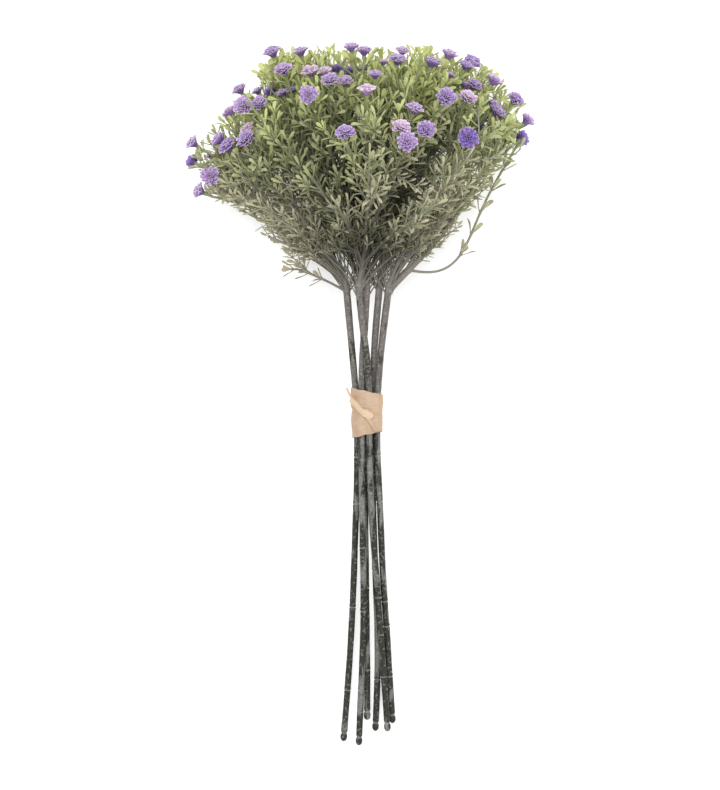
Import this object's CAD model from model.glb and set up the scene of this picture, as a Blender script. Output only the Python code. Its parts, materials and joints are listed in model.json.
"""The looks of a tied bunch of double gypsophila that lies on its side. Its skeleton of shafts, branches
and heads follows the same numbers and rules as the solids, in millimetres; meshes are in metres."""
import json
import math
import random

import bpy
import numpy as np
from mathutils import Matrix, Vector
from mathutils.kdtree import KDTree

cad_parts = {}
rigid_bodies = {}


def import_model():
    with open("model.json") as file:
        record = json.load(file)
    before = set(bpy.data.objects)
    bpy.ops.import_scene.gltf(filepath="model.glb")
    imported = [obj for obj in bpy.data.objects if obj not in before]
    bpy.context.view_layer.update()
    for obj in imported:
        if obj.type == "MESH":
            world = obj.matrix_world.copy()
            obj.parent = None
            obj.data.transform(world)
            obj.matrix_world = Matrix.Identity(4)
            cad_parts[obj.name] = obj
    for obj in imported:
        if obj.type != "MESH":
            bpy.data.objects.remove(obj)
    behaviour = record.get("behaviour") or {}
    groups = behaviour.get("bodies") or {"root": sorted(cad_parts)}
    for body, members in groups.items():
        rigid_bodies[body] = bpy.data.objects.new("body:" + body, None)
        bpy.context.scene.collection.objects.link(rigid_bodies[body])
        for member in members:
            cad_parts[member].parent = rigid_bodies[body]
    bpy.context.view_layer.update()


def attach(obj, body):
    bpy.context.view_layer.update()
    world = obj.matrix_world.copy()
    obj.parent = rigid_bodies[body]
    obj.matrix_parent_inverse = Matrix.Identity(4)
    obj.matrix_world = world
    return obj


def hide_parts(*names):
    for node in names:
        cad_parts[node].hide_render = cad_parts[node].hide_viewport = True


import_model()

MM = 0.001
SEED = 7
GAP = 0.3

# The middle of the bunch in the tables' frame, where y is measured from the lowest foot.
MIDDLE = (-3.2, 199.7, 0.0)

# The bunch leans from its feet up to the crown that it rests on.
FOOT_HEIGHT = 1.2
LEAN = 0.13

# Each stem from foot to fork: x, y, and the height above the lowest layer of stems.
STEM_PATHS = (
    ((-12.8, 2.5, 0.0), (-9.3, 48.7, 0.0), (-7.2, 85.1, 0.0), (-5.8, 129.9, 0.0),
     (-4.3, 174.7, 0.0), (-5.8, 205.0, 0.0), (-8.1, 227.9, 0.3), (-10.9, 259.3, 0.6)),
    ((-4.0, 0.2, 0.8), (-1.7, 48.7, 3.0), (-1.2, 85.1, 4.0), (-2.1, 129.9, 4.0),
     (-2.1, 174.7, 3.6), (-2.4, 205.0, 3.8), (-1.1, 227.9, 3.6), (0.3, 258.7, 3.2)),
    ((0.6, 14.8, 0.0), (0.4, 48.7, -0.3), (0.2, 85.1, -0.4), (-0.3, 129.9, -0.6),
     (0.0, 174.7, -0.6), (0.0, 205.0, -0.6), (-1.1, 227.9, -1.0), (-2.0, 258.7, -1.4)),
    ((12.3, 8.4, 3.9), (10.4, 39.2, 3.9), (8.3, 63.3, 3.9), (6.6, 90.7, 4.0), (3.2, 129.9, 4.2),
     (1.7, 174.7, 4.6), (2.2, 205.0, 4.6), (-0.8, 227.9, 6.2), (-3.9, 258.7, 7.8)),
    ((5.3, 8.4, 0.0), (6.8, 37.5, 0.0), (6.9, 62.7, -0.2), (6.2, 85.1, -0.4), (4.2, 129.9, -0.6),
     (3.6, 174.7, -0.6), (3.4, 205.0, -0.6), (4.6, 227.9, 0.0), (7.4, 258.7, 0.4)),
    ((15.3, 12.9, 0.0), (13.4, 39.2, 0.3), (12.0, 68.3, 0.6), (10.2, 85.1, 0.8), (7.8, 138.3, 1.5),
     (5.5, 174.7, 3.0), (6.7, 205.0, 3.2), (8.7, 227.9, 3.0), (12.6, 258.7, 3.0)),
)
# Where each stem forks, seen from above, and the y of the first fork.
FORK_ENDS = tuple(np.array(path[-1][:2]) for path in STEM_PATHS)
FORK_Y = STEM_PATHS[0][-1][1]
# Where each stem's node rings sit, by their y.
STEM_RINGS = (
    (31.4, 79.0, 137.8, 164.6),
    (31.4, 76.7, 113.0, 137.0),
    (43.0, 90.0, 150.0),
    (39.2, 63.3, 84.6, 144.5),
    (37.5, 100.0, 155.0),
    (39.2, 68.0, 82.3, 139.4, 165.4),
)
RADIUS_AT = ((0.0, 1.85), (200.0, 1.9), (259.0, 2.1))
SHAFT_GAP = 0.75
STATION_STEP = 7.0
# The branches leave the fork one below the other.
FIRST_ROOT = 4.5
FORK_STEP = 1.1

# The crown: its outline seen from above, left and right of the middle, as (y, x), and its depth. Its
# underside is pressed flat by what it lies on.
CROWN_LEFT = ((259, -13), (274, -37), (291, -58), (306, -73), (312, -96), (337, -100), (354, -88),
              (360, -80), (373, -74), (386, -60), (396, -54), (400, -50))
CROWN_RIGHT = ((259, 14), (272, 30), (287, 44), (301, 58), (320, 73), (337, 85), (351, 93),
               (368, 89), (379, 78), (390, 64), (394, 50), (400, 46))
CROWN_TOP = CROWN_RIGHT[-1][0]
CROWN_MIDDLE_Y = 335.0
CROWN_LENGTH = 78.0
CROWN_DEPTH = 64.0
CROWN_UNDERSIDE = 84.0
CROWN_WIDTH = 104.0
CROWN_LOW, CROWN_RISE, CROWN_HIGH = 36.0, 0.25, 58.0
# The least that is left of its depth at its ends and at its sides.
LEAST_ALONG, LEAST_ASIDE = 0.05, 0.12
FLOOR_CLEARANCE = 2.0

# One row for each bloom node, with a head or two that press on each other. A head is x, y, its share of
# the crown's depth (1 on top, -1 beneath), how far it faces up in degrees, and its size.
BLOOMS = (
    ((-53, 393, 0.1, 15, 1.05),),
    ((-37, 393.5, 0, 5, 0.9),),
    ((-9.5, 396, 0.1, 0, 0.9), (0, 393.5, 0, 0, 0.9)),
    ((21, 394, 0.1, 20, 0.8), (17.5, 387.5, 0.35, 20, 1)),
    ((10, 387.5, -0.1, 0, 0.55),),
    ((-46.5, 382, 0.35, 35, 1.05),),
    ((-31, 381.5, 0.3, 25, 1), (-24, 381.5, 0.25, 10, 0.9)),
    ((-20.5, 375.5, 0.55, 40, 1.05), (-11.5, 375, 0.45, 30, 0.95)),
    ((-14.5, 384, -0.2, -20, 0.8), (-10, 383.5, -0.2, -20, 0.8)),
    ((-3, 384, -0.2, 0, 0.6),),
    ((5, 379, 0.5, 15, 0.85),),
    ((-71.5, 372, 0, 5, 0.9),),
    ((-61.5, 372, -0.3, 0, 0.7),),
    ((-53.5, 371, -0.1, -25, 0.85),),
    ((-48, 370, 0, 10, 0.7), (-42, 371.5, 0.05, 20, 0.65)),
    ((-32, 366, 0.85, 75, 1.05),),
    ((0.5, 369.5, 0.8, 10, 1.05),),
    ((-68.5, 361.5, 0.45, 60, 1.1), (-60.5, 362.5, 0.45, 40, 1.05)),
    ((-77, 359, 0.1, -15, 0.9),),
    ((-11.5, 344.5, 0.95, 50, 1.1),),
    ((-98, 342, 0, 10, 0.95),),
    ((-83, 343.5, 0.25, -5, 1), (-76, 340, 0.5, 30, 1.1)),
    ((-69, 342, 0.5, 45, 1.1), (-66.5, 349.5, 0.3, 20, 0.95)),
    ((-98, 331.5, -0.1, -40, 0.85),),
    ((-88.5, 335, -0.1, 0, 0.45),),
    ((-87.5, 322.5, 0.4, 80, 1.05),),
    ((-94.5, 315, 0.1, 15, 0.95),),
    ((37.5, 387, 0.2, 0, 1),),
    ((47, 391.5, 0.1, 0, 1),),
    ((60.5, 387.5, -0.1, 35, 1.05), (56, 385, 0.25, 15, 0.9)),
    ((47.5, 379.5, 0.1, -10, 0.5),),
    ((55.5, 374, -0.1, -20, 0.65), (62, 374, 0.2, 30, 0.95)),
    ((72.5, 377, 0, -5, 1),),
    ((44.5, 365, 0.85, 65, 1.1),),
    ((57, 366, 0.55, 40, 1),),
    ((71.5, 365, -0.3, 0, 0.75), (75, 358, 0.4, 20, 1.05)),
    ((84.5, 366, 0.05, 35, 1),),
    ((91, 354, 0, -5, 0.95),),
    ((27, 359, 0.75, 25, 1),),
    ((19.5, 347.5, 0.9, 45, 1.1), (23, 339.5, 0.98, 75, 1.1)),
    ((32.5, 346, 0.95, 65, 1.05),),
    ((56.5, 342, 0.85, 88, 1.15),),
    ((65, 351.5, -0.2, -10, 0.8),),
    ((88, 345, -0.05, -50, 0.9),),
    ((-73, 337, -1, -50, 1),),
    ((-51, 354, -0.95, -60, 1),),
    ((-24.5, 368, -0.85, -50, 1),),
    ((0, 348.5, -1, -70, 1),),
    ((23.5, 369.5, -0.85, -50, 1),),
    ((50, 355, -0.95, -60, 1),),
    ((74, 342.5, -1, -45, 1),),
    ((36, 327, -1, -75, 1),),
)
HEAD_RADIUS = 5.4
HEAD_DEPTH = 3.9
HEAD_REACH = 5.9
TWIN_DISTANCE = 8.6
# Base, outer petals and inner petals, as shares of the head's radius: reach of the tips, reach of the
# notches, and how far each of them stands above the rim.
HEAD_RINGS = ((0.26, 0.26, -0.72, -0.72), (1.0, 0.82, 0.0, -0.14), (0.5, 0.66, 0.36, 0.28))
PETAL_POINTS = 10
# How far a head that lies on the surface is pressed flat.
PRESSED = 0.25
# The heads face away from this point in the middle of the fork.
FACING_FROM = (0.0, 272.0)

# The part of the crown that each stem fills: x, y, z of its middle.
STEM_HOMES = ((-80, 325, 50), (-42, 376, 70), (0, 352, 20), (0, 345, 108), (26, 392, 62), (82, 345, 60))

# Leafy twigs with no bloom, drawn inside the crown's outline, and the ones seen against the light.
LEAFY_TIPS = 36
RIM_TIPS = ((-55, 289, 0.1), (-42, 271, -0.1), (-71, 304, 0.2), (51, 303, 0.2), (45, 292, 0.0),
            (64, 316, -0.1), (-24, 397, 0.1), (28, 397, -0.2), (-66, 384, 0.0), (-84, 352, 0.1))
TIP_SPACING = 13.0

# The sturdy low branch on the right, and the twig that loops out from it before it climbs.
SIDE_BRANCH = ((17.5, 264.0, 39.0), (24.5, 270.5, 41.0), (35.0, 281.5, 43.0), (44.8, 291.8, 46.0),
               (55.0, 306.0, 50.0), (63.5, 321.0, 55.0), (69.5, 336.0, 59.0), (73.0, 348.0, 62.0))
SIDE_GIRTH = 1.45
LOOP_TWIG = ((33.0, 266.9, 41.0), (41.4, 265.0, 41.0), (48.2, 267.8, 41.0),
             (54.3, 275.0, 42.0), (58.4, 287.6, 44.0), (63.0, 300.7, 46.0), (68.9, 313.6, 48.0),
             (76.2, 325.9, 49.0), (82.9, 336.0, 50.0), (86.5, 344.0, 50.0))
SIDE_STEM = 5

BRANCH_STEP = 4.0
PATH_WEIGHT = 0.94
# How many tips one spray from a fork carries at most.
LARGEST_SPRAY = 8
SHORTEST_TWIG = 20.0
# The least cosine between a branch and the way to a tip that may grow from it, and how strongly a twig
# or a branch keeps to the course of what it leaves.
WIDEST_TURN = 0.45
TWIG_LEAVES, SHAFT_LEAVES = 0.75, 0.9
TWIG_RADIUS = 0.62
TWIG_GROWTH = 0.36
THICKEST_BRANCH = 1.3
TWIG_SLACK = 0.9
# How strongly branches that meet part upwards and downwards, the one of the higher spray above.
UNTANGLE = 0.8
WIDEST_PAIR = 4.6
SETTLE_ROUNDS = 50
CALYX_RADIUS = 1.35

FIRST_WHORL = 5.2
BARE_LENGTH = 12.0

TIE_TOP, TIE_BOTTOM = 202.0, 177.5
TIE_SLANT = 0.22
TIE_THICKNESS = 0.9
TIE_SLACK = 0.8
TIE_SIDES = 20
TIE_CIRCLE = 48
# The tie's folded end, its knot and its two free ends on top of the band: points as x, y and the height
# above the band, then width and thickness.
TIE_ENDS = (
    (((-8.6, 197.5, -0.6), (-5.6, 194.5, 0.2), (-2.6, 191.0, 0.5), (1.2, 188.8, 0.6)), 3.6, 1.5),
    (((-1.8, 190.6, 0.3), (0.8, 189.0, 1.0), (3.4, 187.4, 0.3)), 5.0, 2.6),
    (((0.2, 188.2, 0.6), (2.6, 184.6, 1.0), (5.6, 179.6, 0.5)), 2.2, 1.2),
    (((-6.2, 195.4, -0.3), (-8.6, 199.0, 0.1), (-10.9, 203.8, 0.6)), 1.3, 0.9),
)


# Curves and vectors

def unit(vector):
    """The vector at length one."""
    return vector / max(np.linalg.norm(vector), 1e-9)


def smooth_track(places, values, wanted):
    """A cubic curve through the values at their places, read at the wanted places."""
    places = np.asarray(places, float)
    values = np.asarray(values, float)
    slopes = np.gradient(values, places, axis=0)
    low = np.clip(np.searchsorted(places, wanted) - 1, 0, len(places) - 2)
    span = (places[low + 1] - places[low])[:, None]
    t = (np.asarray(wanted)[:, None] - places[low][:, None]) / span
    return ((2 * t**3 - 3 * t**2 + 1) * values[low] + (t**3 - 2 * t**2 + t) * span * slopes[low]
            + (3 * t**2 - 2 * t**3) * values[low + 1] + (t**3 - t**2) * span * slopes[low + 1])


def track_at(places, values, place):
    """One point of such a curve."""
    return smooth_track(places, values, np.array([place]))[0]


def lengths_along(points):
    """The distance along a polyline at each of its points."""
    steps = np.linalg.norm(np.diff(points, axis=0), axis=1)
    return np.concatenate(([0.0], np.cumsum(steps)))


def tangents(points):
    """The direction of a polyline at each of its points."""
    run = np.gradient(points, axis=0)
    return run / np.maximum(np.linalg.norm(run, axis=1, keepdims=True), 1e-9)


def bezier(start, leave, arrive, end, count):
    """A cubic curve of count points between two ends with their handles."""
    t = np.linspace(0, 1, count)[:, None]
    return (1 - t)**3 * start + 3 * (1 - t)**2 * t * leave + 3 * (1 - t) * t**2 * arrive + t**3 * end


def across(direction):
    """Two directions square to the given one and to each other."""
    helper = np.array((0.0, 0.0, 1.0)) if abs(direction[2]) < 0.9 else np.array((1.0, 0.0, 0.0))
    side = unit(np.cross(direction, helper))
    return side, np.cross(direction, side)


def swung(first, second, turn):
    """A direction turned from the first one towards the second."""
    return first * math.cos(turn) + second * math.sin(turn)


def full_round(count):
    """Even turns of a full round."""
    return np.arange(count) * 2 * math.pi / count


# Shafts

def settle_shafts():
    """The six shafts, pushed apart until they clear each other at every station along y."""
    stations = np.arange(0.0, FORK_Y + STATION_STEP, STATION_STEP)
    sections = []
    for path in STEM_PATHS:
        knots = np.array([(x, FOOT_HEIGHT + LEAN * y + lift) for x, y, lift in path])
        sections.append(smooth_track([p[1] for p in path], knots, stations))
    sections = np.array(sections)
    radii = np.interp(stations, *zip(*RADIUS_AT))
    for _ in range(SETTLE_ROUNDS):
        shift = np.zeros_like(sections)
        for a in range(len(sections)):
            for b in range(a + 1, len(sections)):
                apart = sections[b] - sections[a]
                distance = np.maximum(np.linalg.norm(apart, axis=1), 1e-6)
                feet = max(STEM_PATHS[a][0][1], STEM_PATHS[b][0][1])
                short = np.clip(2 * radii + SHAFT_GAP - distance, 0, None)
                short[stations < feet - STATION_STEP] = 0
                push = apart / distance[:, None] * short[:, None] * 0.5
                shift[a] -= push
                shift[b] += push
        sections += shift
        middle = (sections[:, :-2] + sections[:, 2:]) / 2
        sections[:, 1:-1] += 0.1 * (middle - sections[:, 1:-1])
    shafts = []
    for path, section in zip(STEM_PATHS, sections):
        inside = stations[(stations > path[0][1] + 3) & (stations < path[-1][1] - 3)]
        ys = np.concatenate(([path[0][1]], inside, [path[-1][1]]))
        flat = smooth_track(stations, section, ys)
        shafts.append(np.column_stack((flat[:, 0], ys, flat[:, 1])))
    return shafts


# Crown

def crown_sides(y):
    """The x of the crown's outline at y, on the left and on the right."""
    return np.interp(y, *zip(*CROWN_LEFT)), np.interp(y, *zip(*CROWN_RIGHT))


def crown_height(x, y, share):
    """The height of a place in the crown, from share -1 on its underside to 1 on top."""
    middle = min(CROWN_HIGH, CROWN_LOW + CROWN_RISE * (y - FORK_Y))
    along = max(LEAST_ALONG, 1 - ((y - CROWN_MIDDLE_Y) / CROWN_LENGTH)**2)
    aside = max(LEAST_ASIDE, 1 - (x / CROWN_WIDTH)**2)
    depth = CROWN_DEPTH if share > 0 else CROWN_UNDERSIDE
    return max(middle + share * depth * math.sqrt(along * aside), FLOOR_CLEARANCE)


class Head:
    """One bloom head: where its rim lies, where it faces, its size, its node and its stem."""

    def __init__(self, row, node):
        x, y, share, tilt, size = row
        self.place = np.array((x, y, crown_height(x, y, share)), float)
        out = unit(np.array((x - FACING_FROM[0], y - FACING_FROM[1], 0.0)))
        up = math.radians(tilt)
        self.facing = unit(out * math.cos(up) + np.array((0, 0, math.sin(up))))
        self.size = size
        self.node = node
        self.stem = None

    def middle(self):
        """The centre of the ball that the head fills."""
        return self.place - self.facing * 0.9 * self.size

    def petals(self):
        """Corners of the base, the outer petals, the inner petals and the centre, from the head's place."""
        side, up = across(self.facing)
        radius = HEAD_RADIUS * self.size
        corners = []
        for outer, inner, height, dip in HEAD_RINGS:
            for k in range(PETAL_POINTS):
                turn = 2 * math.pi * k / PETAL_POINTS
                reach, lift = (inner, dip) if k % 2 else (outer, height)
                corners.append(radius * (reach * swung(side, up, turn) + lift * self.facing))
        corners.append(self.facing * radius * 0.22)
        return corners

    def lowest(self):
        """How far above the surface the head's place is when its lowest petals are pressed on it."""
        return -min(corner[2] for corner in self.petals()) - PRESSED

    def clearance(self, spots):
        """How far each point lies outside the funnel that the head fills."""
        run = spots - self.place
        above = run @ self.facing
        aside = np.linalg.norm(run - above[:, None] * self.facing, axis=1)
        depth = HEAD_DEPTH * self.size
        girth = HEAD_RADIUS * self.size * np.interp(above, (-depth, 0.0, 2.0), (0.27, 1.0, 0.7))
        beyond = np.maximum(above - 2.1, -depth - above)
        return np.maximum(aside - girth, beyond)

    def seen(self):
        """Whether the head shows its face from above."""
        return self.facing[2] > -0.5

    def seat(self):
        """Where the twig's calyx ends, just short of the head."""
        return self.place - self.facing * (HEAD_DEPTH * self.size + GAP)


def settle_heads():
    """Every head, moved apart where two nodes would touch and together where two heads share one."""
    heads = [Head(row, node) for node, rows in enumerate(BLOOMS) for row in rows]
    for _ in range(SETTLE_ROUNDS * 3):
        for i, a in enumerate(heads):
            for b in heads[i + 1:]:
                apart = b.middle() - a.middle()
                distance = max(np.linalg.norm(apart), 1e-6)
                mean = (a.size + b.size) / 2
                if a.node == b.node:
                    move = (TWIN_DISTANCE * mean - distance) / 2
                else:
                    move = max(0.0, 2 * HEAD_REACH * mean + GAP - distance) / 2
                if abs(move) < 1e-3:
                    continue
                push = unit(apart * np.array((0.35, 0.35, 1.0)) + np.array((0, 0, 1e-4 * (i + 1)))) * move
                a.place = a.place - push
                b.place = b.place + push
        for head in heads:
            head.place[2] = max(head.place[2], head.lowest())
    return heads


def nearest_home(place):
    """The stem whose part of the crown this place lies in."""
    return int(np.argmin([np.linalg.norm(place - np.array(home)) for home in STEM_HOMES]))


def leafy_tips(heads, rng):
    """Ends of twigs with leaves and no bloom: along the rim by hand, and scattered inside the crown."""
    tips = [np.array((x, y, crown_height(x, y, share))) for x, y, share in RIM_TIPS]
    taken = [head.middle() for head in heads] + tips
    while len(tips) < LEAFY_TIPS + len(RIM_TIPS):
        y = rng.uniform(292, 396)
        left, right = crown_sides(y)
        x = rng.uniform(left + 5, right - 5)
        share = math.sin(rng.uniform(-1.45, 1.45))
        place = np.array((x, y, crown_height(x, y, share)))
        if min(np.linalg.norm(place - other) for other in taken) > TIP_SPACING:
            tips.append(place)
            taken.append(place)
    return tips


class Branch:
    """One branch or twig: its points from root to tip, what it grows from and what it carries."""

    def __init__(self, stem, points, parent=None, joint=0, head=None, start=0.0, girth=1.0):
        self.stem = stem
        self.girth = girth
        self.points = points
        self.parent = parent
        self.joint = joint
        self.head = head
        self.start = start
        self.trunk = parent.trunk if parent else self
        self.load = 1
        self.roll, self.hue, self.free = 0.0, 0.0, 0.0

    def reach(self):
        """How far each point lies from the fork along the branches."""
        return self.start + lengths_along(self.points)


def hand_route(spots):
    """A smooth line of even steps through places set by hand."""
    along = lengths_along(np.array(spots))
    count = max(6, round(along[-1] / BRANCH_STEP))
    return smooth_track(along, spots, np.linspace(0, along[-1], count))


def tip_aim(place):
    """Where a leafy twig's tip points: away from the fork."""
    return unit(place - np.array((FACING_FROM[0], FACING_FROM[1], CROWN_LOW)))


def grow_spray(stem, shaft, tips):
    """The branches of one stem. Each tip, farthest first, joins the nearest point that leads to it."""
    fork = shaft[-1]
    heading = unit(shaft[-1] - shaft[-2])
    branches = []
    if stem == SIDE_STEM:
        side = Branch(stem, hand_route((fork, *SIDE_BRANCH)), girth=SIDE_GIRTH)
        joint = int(np.argmin(np.linalg.norm(side.points - SIDE_BRANCH[1], axis=1)))
        loop = hand_route((side.points[joint], *LOOP_TWIG))
        branches = [side, Branch(stem, loop, side, joint, start=side.reach()[joint])]
    for end, aim, head in sorted(tips, key=lambda tip: -np.linalg.norm(tip[0] - fork)):
        from_fork = sum(branch.parent is None for branch in branches)
        root = fork + heading * (FIRST_ROOT - FORK_STEP * from_fork)
        best = (np.linalg.norm(end - fork), root, heading, None, 0, 0.0)
        for branch in branches:
            if sum(other.trunk is branch.trunk for other in branches) >= LARGEST_SPRAY:
                continue
            reach = branch.reach()
            course = tangents(branch.points)
            for k in range(3, len(branch.points) - 4):
                run = end - branch.points[k]
                length = np.linalg.norm(run)
                if length < SHORTEST_TWIG or run @ course[k] < WIDEST_TURN * length:
                    continue
                cost = length + PATH_WEIGHT * reach[k]
                if cost < best[0]:
                    best = (cost, branch.points[k], course[k], branch, k, reach[k])
        _, root, course, parent, joint, start = best
        run = end - root
        length = np.linalg.norm(run)
        leave = unit((TWIG_LEAVES if parent else SHAFT_LEAVES) * course + unit(run))
        count = max(6, round(length / BRANCH_STEP))
        points = bezier(root, root + leave * length * 0.35, end - aim * length * 0.3, end, count)
        branches.append(Branch(stem, points, parent, joint, head, start))
    for branch in branches:
        above = branch.parent
        while above is not None:
            above.load += 1
            above = above.parent
    return branches


def branch_radii(branch):
    """Radius at each point: thick where many tips hang on it, thin at the tip."""
    thick = min(TWIG_RADIUS * branch.load**TWIG_GROWTH * 1.15, THICKEST_BRANCH) * branch.girth
    return np.linspace(thick, TWIG_RADIUS, len(branch.points))


def settle_branches(branches, shafts, heads):
    """Bends the branches of different stems clear of each other, of the shafts and of the heads."""
    owners = np.concatenate([[b.stem] * len(b.points) for b in branches]
                            + [[s] * len(shaft) for s, shaft in enumerate(shafts)])
    radii = np.concatenate([branch_radii(b) for b in branches]
                           + [[RADIUS_AT[-1][1]] * len(shaft) for shaft in shafts])
    still = np.concatenate(shafts)
    centres = np.array([head.middle() for head in heads])
    sizes = np.array([head.size * HEAD_REACH for head in heads])
    carried = np.concatenate([[heads.index(b.head) if b.head else -1] * len(b.points) for b in branches])
    from_tip = np.concatenate([np.arange(len(b.points))[::-1] for b in branches])
    counts = [len(b.points) for b in branches]
    for round_number in range(SETTLE_ROUNDS):
        moving = np.concatenate([b.points for b in branches])
        every = np.concatenate((moving, still))
        tree = KDTree(len(every))
        for i, point in enumerate(every):
            tree.insert(point, i)
        tree.balance()
        shift = np.zeros_like(moving)
        for i, point in enumerate(moving):
            for other, j, distance in tree.find_range(point, WIDEST_PAIR):
                need = radii[i] + radii[j] + GAP + TWIG_SLACK
                if owners[i] != owners[j] and 1e-6 < distance < need:
                    share = 1.0 if j >= len(moving) else 0.5
                    above = STEM_HOMES[owners[i]][2] - STEM_HOMES[owners[j]][2]
                    aside = point - np.array(other) + np.array((0, 0, math.copysign(UNTANGLE, above)))
                    shift[i] += unit(aside) * (need - distance) * share
        apart = moving[:, None, :] - centres[None, :, :]
        distance = np.linalg.norm(apart, axis=2)
        need = sizes[None, :] + radii[:len(moving), None] + 2 * GAP
        short = np.clip(need - distance, 0, None)
        near_own = (carried[:, None] == np.arange(len(heads))[None, :]) & (from_tip[:, None] < 3)
        short[near_own] = 0
        shift += np.sum(apart / np.maximum(distance, 1e-6)[:, :, None] * short[:, :, None], axis=1)
        begin = 0
        for branch, count in zip(branches, counts):
            move = shift[begin:begin + count]
            ease = np.clip(np.arange(count)[::-1] / 2.0 - 0.5, 0, 1)[:, None]
            old_root = branch.points[0].copy()
            branch.points = branch.points + move * ease * 0.8
            branch.points[0] = old_root
            middle = (branch.points[:-2] + branch.points[2:]) / 2
            smooth = 0.25 if round_number < SETTLE_ROUNDS - 5 else 0.05
            branch.points[1:-2] += smooth * (middle - branch.points[1:-1])[:-1]
            branch.points[:, 2] = np.maximum(branch.points[:, 2], FLOOR_CLEARANCE)
            begin += count
        for branch in branches:
            if branch.parent is not None:
                drift = branch.parent.points[branch.joint] - branch.points[0]
                fade = np.linspace(1, 0, len(branch.points))[:, None]**2
                branch.points = branch.points + drift * fade
    for branch in branches:
        if branch.head is not None:
            last = np.linalg.norm(branch.points[-1] - branch.points[-2])
            branch.points[-2] = branch.points[-1] - branch.head.facing * last


# Raffia tie, as the solids have it

def outline_round(centres, reach):
    """The line drawn round circles of one radius: the ends of the farthest reach in each direction."""
    circle = reach * np.array([(math.cos(turn), math.sin(turn)) for turn in full_round(TIE_CIRCLE)])
    spots = sorted({tuple(np.round(centre + step, 5)) for centre in centres for step in circle})
    hull = []
    for run in (spots, spots[::-1]):
        start = len(hull)
        for spot in run:
            while len(hull) >= start + 2:
                (ax, az), (bx, bz) = hull[-2], hull[-1]
                if (bx - ax) * (spot[1] - az) - (bz - az) * (spot[0] - ax) > 0:
                    break
                hull.pop()
            hull.append(spot)
        hull.pop()
    hull = np.array(hull)
    middle = hull.mean(axis=0)
    out = []
    for turn in full_round(TIE_SIDES):
        way = np.array((math.cos(turn), math.sin(turn)))
        best = 0.0
        for a, b in zip(hull, np.roll(hull, -1, axis=0)):
            edge = b - a
            cross = way[0] * edge[1] - way[1] * edge[0]
            if abs(cross) < 1e-9:
                continue
            along = ((a - middle)[0] * edge[1] - (a - middle)[1] * edge[0]) / cross
            share = ((a - middle)[0] * way[1] - (a - middle)[1] * way[0]) / cross
            if along > 0 and -1e-6 <= share <= 1 + 1e-6:
                best = max(best, along)
        out.append(middle + way * best)
    return np.array(out)


def shaft_centres(shafts, y):
    """Where the six shafts stand in the upright plane at y."""
    return [track_at(shaft[:, 1], shaft[:, [0, 2]], y) for shaft in shafts]


def tie_outline(shafts, y, extra):
    """The band's outline at y, seen along the stems."""
    reach = float(np.interp(y, *zip(*RADIUS_AT))) + TIE_SLACK + extra
    return outline_round(shaft_centres(shafts, y), reach)


# Meshes

SHARP_EDGE = math.radians(48)
# The lowest height of any vertex.
LOWEST = 0.02
# Between these depths below the crown's surface the shade inside it grows from nothing to full.
DEEP_FROM, DEEP_TO = 11.0, 60.0
# How much deeper a place counts than it lies inside the outline's sides, its top end and the ground.
SIDE_DEPTH, END_DEPTH, GROUND_DEPTH = 4, 3, 26
# The darkest part of the crown: the x and y of its middle, and its half widths.
CORE = (6.0, 307.0, 36.0, 44.0)
# The shade between the branches at the fork, in the same way, and its strength.
FORK_SHADE = (0.0, 283.0, 30.0, 20.0)
FORK_DEPTH = 0.85
# How far below the crown's surface that shade begins, and over how much it grows.
FORK_FROM, FORK_FADE = 8, 14
# The share of the shade that every deep place takes, also outside the core.
SHADE_BASE = 0.35


class Pile:
    """Vertices and faces gathered for one mesh, with the values that its materials read."""

    def __init__(self):
        self.places, self.faces, self.slots = [], [], []
        self.values = {"along": [], "mark": [], "tone": []}
        self.count = 0

    def add(self, places, faces, slot, along=0.0, mark=0.0, tone=0.0):
        """Adds vertices, and faces of four corners, or of three with -1 in the last place."""
        faces = np.asarray(faces)
        self.places.append(np.asarray(places, float))
        self.faces.append(np.where(faces < 0, -1, faces + self.count))
        self.slots.append(np.full(len(faces), slot))
        for name, value in (("along", along), ("mark", mark), ("tone", tone)):
            self.values[name].append(np.broadcast_to(np.asarray(value, float), len(places)))
        self.count += len(places)

    def build(self, name, materials):
        """The object, in metres and in the model's own frame."""
        places = np.concatenate(self.places)
        places[:, 2] = np.maximum(places[:, 2], LOWEST)
        self.values["deep"] = [depth_in_crown(places)]
        places = (places - MIDDLE) * MM
        faces = np.concatenate(self.faces)
        corners = faces.ravel()
        sizes = np.where(faces[:, 3] < 0, 3, 4)
        mesh = bpy.data.meshes.new(name)
        mesh.vertices.add(len(places))
        mesh.vertices.foreach_set("co", places.ravel())
        mesh.loops.add(int(sizes.sum()))
        mesh.loops.foreach_set("vertex_index", corners[corners >= 0])
        mesh.polygons.add(len(faces))
        mesh.polygons.foreach_set("loop_start", np.concatenate(([0], np.cumsum(sizes)[:-1])))
        mesh.polygons.foreach_set("material_index", np.concatenate(self.slots))
        mesh.update(calc_edges=True)
        for value, parts in self.values.items():
            layer = mesh.attributes.new(value, "FLOAT", "POINT")
            layer.data.foreach_set("value", np.concatenate(parts))
        for made in materials:
            mesh.materials.append(made)
        mesh.shade_smooth()
        mesh.set_sharp_from_angle(angle=SHARP_EDGE)
        item = bpy.data.objects.new(name, mesh)
        bpy.context.scene.collection.objects.link(item)
        return item


def hill(x, y, form):
    """A smooth hill of height 1 over a middle, with its half widths."""
    return np.exp(-((x - form[0]) / form[2])**2 - ((y - form[1]) / form[3])**2)


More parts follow.
